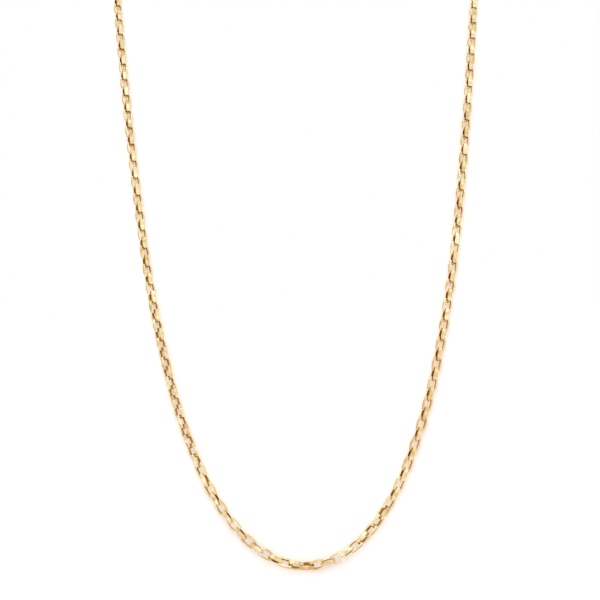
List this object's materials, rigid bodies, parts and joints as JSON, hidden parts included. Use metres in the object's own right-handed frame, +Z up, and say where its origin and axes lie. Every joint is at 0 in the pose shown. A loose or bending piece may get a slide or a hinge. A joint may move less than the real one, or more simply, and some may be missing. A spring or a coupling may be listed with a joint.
{
  "type": "cross link chain necklace",
  "caption": "Fine neck chain of flat ribbon links set crosswise, hung as worn with a deep front drop and a plain oval clasp at the nape.",
  "frame": {"origin": "middle of the clasp at the nape, where the chain hangs on the neck", "axes": "+Z up, the front of the wearer towards -Y, +X to the wearer's left"},
  "size_m": [0.0978, 0.1018, 0.1738],
  "materials": {
    "gold": "polished yellow gold"
  },
  "bodies": {
    "root": {"chain": "gold", "clasp": "gold"}
  },
  "joints": []
}
